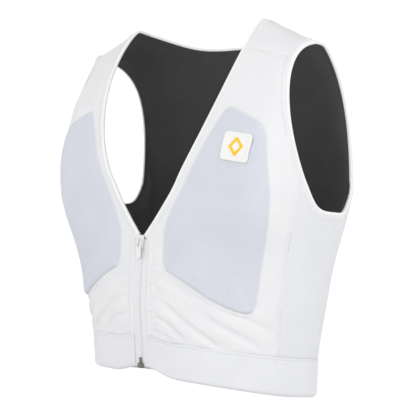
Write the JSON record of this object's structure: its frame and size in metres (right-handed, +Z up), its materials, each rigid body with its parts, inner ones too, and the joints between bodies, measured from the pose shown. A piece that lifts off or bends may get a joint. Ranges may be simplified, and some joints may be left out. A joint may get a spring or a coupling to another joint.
{
  "type": "equestrian back protector vest",
  "caption": "Cropped sleeveless riding protector vest with a deep V neck, a closed front zip, soft chest pads let into the front panels, bound edges, a dark lining and an elastic waistband.",
  "frame": {"origin": "midway between the shoulders, on the ridge line where the vest hangs on the wearer", "axes": "+X to the wearer's left, -Y the way the wearer faces, +Z up"},
  "size_m": [0.335, 0.2221, 0.3975],
  "materials": {
    "cloth": "white fine stretch knit",
    "side_cloth": "cool white fine stretch knit",
    "pad_cloth": "pale blue grey knit over soft foam",
    "lining": "dark grey brushed lining",
    "binding": "white folded elastic binding",
    "elastic": "white ribbed elastic",
    "badge_rubber": "white moulded rubber",
    "badge_amber": "amber moulded rubber",
    "zip_tape": "white woven tape",
    "zip_plastic": "white satin plastic",
    "zip_metal": "dull grey metal"
  },
  "bodies": {
    "vest": {"front_panel_left": "cloth", "front_panel_right": "cloth", "side_panel_left": "side_cloth", "side_panel_right": "side_cloth", "back_panel": "cloth", "chest_pad_left": "pad_cloth", "chest_pad_right": "pad_cloth", "lining_front_left": "lining", "lining_front_right": "lining", "lining_side_left": "lining", "lining_side_right": "lining", "lining_back": "lining", "neck_binding": "binding", "armhole_binding_left": "binding", "armhole_binding_right": "binding", "waistband": "elastic", "badge": "badge_rubber", "badge_mark": "badge_amber", "zip_tape_left": "zip_tape", "zip_tape_right": "zip_tape", "zip_chain": "zip_plastic", "zip_slider": "zip_plastic", "zip_box": "zip_metal", "zip_pin": "zip_metal"},
    "zip_pull": {"zip_pull": "zip_plastic"}
  },
  "joints": [
    {"name": "zip_pull_swing", "type": "hinge", "parent": "vest", "child": "zip_pull", "pos_m": [0, -0.07226, -0.23605], "axis": [-1, 0, 0], "range_deg": [0, 165]}
  ]
}
